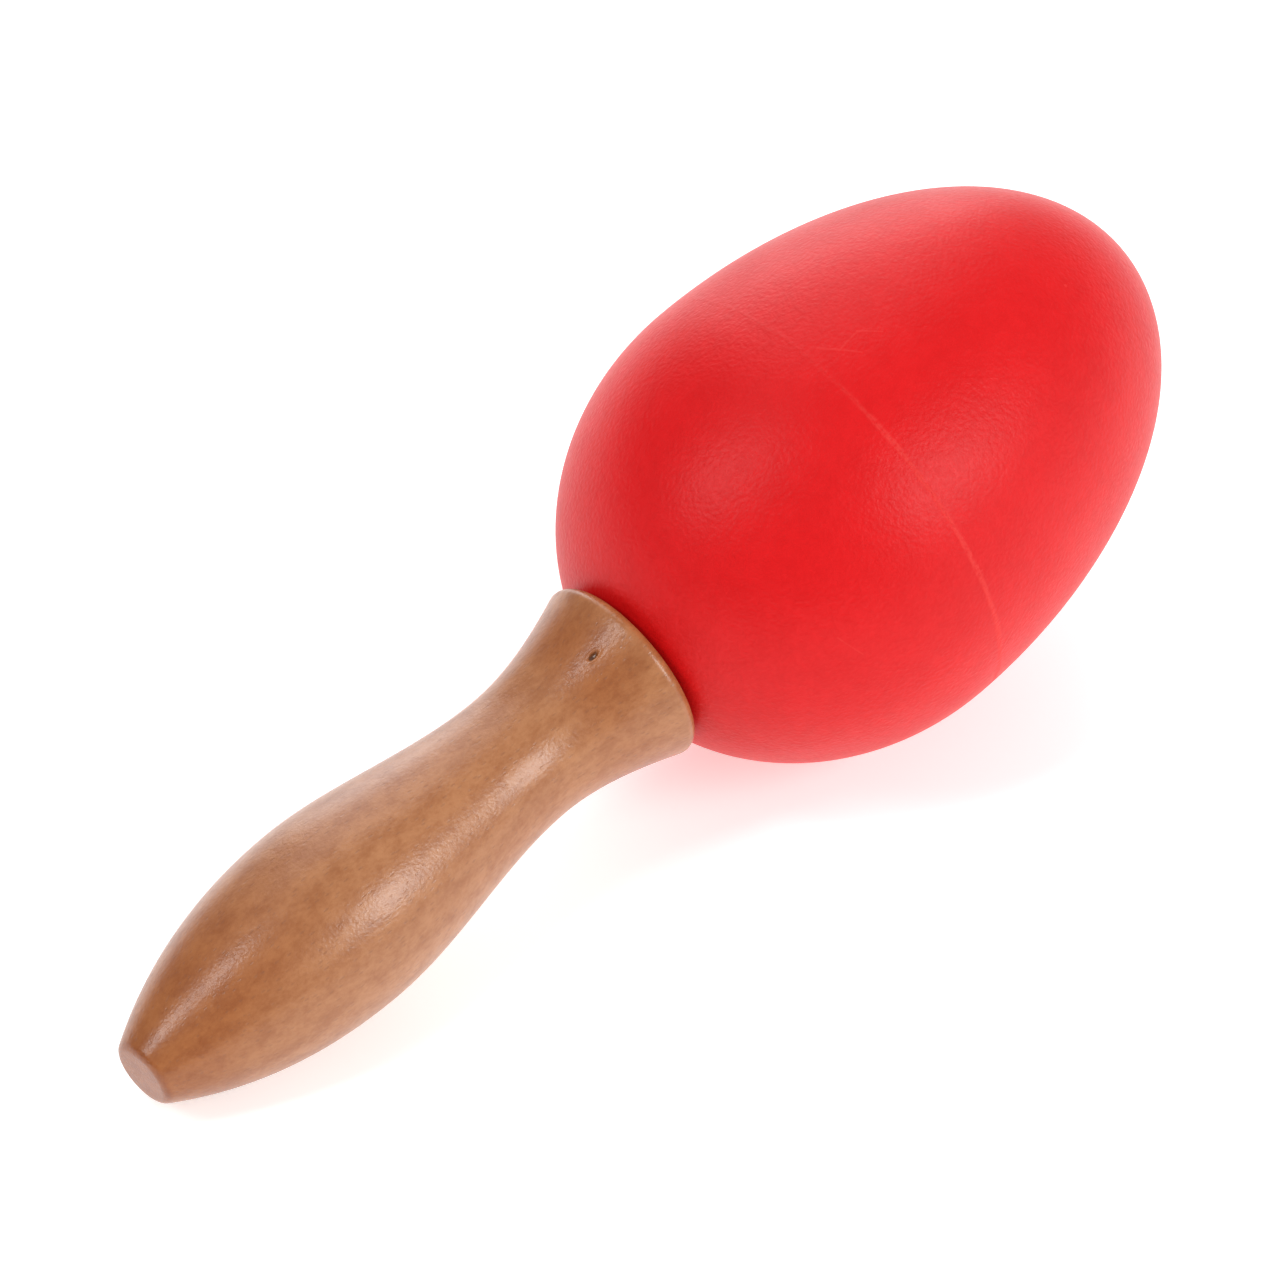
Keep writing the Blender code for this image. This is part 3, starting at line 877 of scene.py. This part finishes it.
def steel_finish(name, colour, stain, metallic, gloss, grain):
    """Metal whose roughness starts at gloss and wavers with a fine grain, stained in clouds that
    are six grains wide."""
    finish, surface, where = new_finish(name)
    grains = clouds(finish, where, (grain,) * 3, 3.0)
    stains = fade(finish, clouds(finish, where, (6 * grain,) * 3, 3.0), 0.50, 0.65)
    feed(finish, surface, "Base Color", mix(finish, stains, colour, stain))
    feed(finish, surface, "Roughness", maths(finish, "MULTIPLY_ADD", grains, 0.15, gloss))
    raise_skin(finish, surface, maths(finish, "MULTIPLY", grains, 0.02 * grain))
    surface.inputs["Metallic"].default_value = metallic
    return finish


bright_steel = steel_finish("bright_steel", BRIGHT, DULL, 1.0, 0.16, 0.20 * MM)
aged_steel = steel_finish("aged_steel", BROWN, RUST, 0.10, 0.75, 0.10 * MM)
for ball in balls:
    ball.data.materials.append(bright_steel)
frame["nodes"]["locking_brad"].material_slots[0].material = aged_steel
print(bright_steel.name, "on", len(balls), "balls,", aged_steel.name, "on the brad")

# %% [markdown]
# ## The floor
#
# The floor is a light table, pale and a little bright by itself, which lights the underside of
# the maraca and washes out its shadow. It is large enough that its edge stays out of the picture,
# and it lies a twentieth of a millimetre low, so that the belly and the palm never share its
# plane.

# %% Lay the floor
FLOOR_REACH, FLOOR_DROP = 3.0, 0.05 * MM
FLOOR_PALE, FLOOR_PALER = (0.90, 0.90, 0.90, 1.0), (0.92, 0.92, 0.92, 1.0)
FLOOR_GLOW = 0.45

corners = [(-1, -1), (1, -1), (1, 1), (-1, 1)]
corners = [(x * FLOOR_REACH, y * FLOOR_REACH, -FLOOR_DROP) for x, y in corners]
floor_mesh = bpy.data.meshes.new("floor")
floor_mesh.from_pydata(corners, [], [(0, 1, 2, 3)])
floor = bpy.data.objects.new("floor", floor_mesh)
bpy.context.scene.collection.objects.link(floor)

floor_finish, floor_surface, where = new_finish("pale_floor")
floor_clouds = clouds(floor_finish, where, (60 * MM,) * 3)
floor_tone = mix(floor_finish, floor_clouds, FLOOR_PALER, FLOOR_PALE)
feed(floor_finish, floor_surface, "Base Color", floor_tone)
floor_surface.inputs["Roughness"].default_value = 0.9
floor_surface.inputs["Emission Color"].default_value = (1.0, 1.0, 1.0, 1.0)
floor_surface.inputs["Emission Strength"].default_value = FLOOR_GLOW
floor_mesh.materials.append(floor_finish)
print("floor:", 2 * FLOOR_REACH, "m square")

# %% [markdown]
# ## The soft boxes
#
# Each soft box shows on the lacquer as one soft highlight, and as a fainter, wider one on the
# satin egg. A mirror halfway between the camera's direction and a box's would look straight at
# that box, and that gives its place: a tall one low on the right, a small one on the left, and a
# small one almost overhead. Two big, dim ones behind lighten the upper side without a clear
# highlight.

# %% Hang the soft boxes
BOX_DISTANCE = 2.0
maraca_middle = Vector(middle @ view_axes)


def soft_box(name, toward, size, brightness):
    """A rectangular light that faces the maraca. brightness is how much brighter than white paper
    it looks, which for a rectangle is its power over pi times its area."""
    light = bpy.data.lights.new(name, "AREA")
    light.shape = "RECTANGLE"
    light.size, light.size_y = size
    light.energy = brightness * math.pi * size[0] * size[1]
    lamp = bpy.data.objects.new(name, light)
    bpy.context.scene.collection.objects.link(lamp)
    direction = Vector(toward).normalized()
    lamp.location = maraca_middle + BOX_DISTANCE * direction
    lamp.rotation_euler = direction.to_track_quat("Z", "Y").to_euler()
    print(f"{name}: {light.energy:.1f} W")


soft_box("right_soft_box", (0.33, -0.79, 0.515), (0.58, 0.95), 11.0)
soft_box("left_soft_box", (-0.69, 0.20, 0.69), (0.45, 0.45), 14.0)
soft_box("overhead_soft_box", (-0.44, 0.08, 0.895), (0.42, 0.42), 12.5)
soft_box("high_back_soft_box", (0.40, 0.52, 0.75), (1.40, 1.40), 1.7)
soft_box("low_back_soft_box", (0.55, 0.80, 0.24), (1.20, 1.00), 3.0)

# %% [markdown]
# ## The walls
#
# The room is white and even, but darker behind on the left, where the egg shows its deepest red.
# How far a direction points that way is its dot product with the dark corner's direction. Last,
# the picture is set to show the colours as they are, with no film curve over them.

# %% Paint the walls
DARK_CORNER = (-0.80, 0.60, 0.0)
WALL_BRIGHT, WALL_DARK = 0.46, 0.24

world = bpy.data.worlds.new("white_studio")
bpy.context.scene.world = world
world.use_nodes = True
background = world.node_tree.nodes["Background"]
background.inputs["Color"].default_value = (1.0, 1.0, 1.0, 1.0)
sky_direction = node(world, "TexCoord").outputs["Generated"]
cornerward = vector_maths(world, "DOT_PRODUCT", sky_direction, DARK_CORNER)
walls = fade(world, cornerward, 0.2, 0.9, WALL_BRIGHT, WALL_DARK)
feed(world, background, "Strength", walls)
bpy.context.scene.view_settings.view_transform = "Standard"
print("walls from", WALL_DARK, "to", WALL_BRIGHT, "of white")
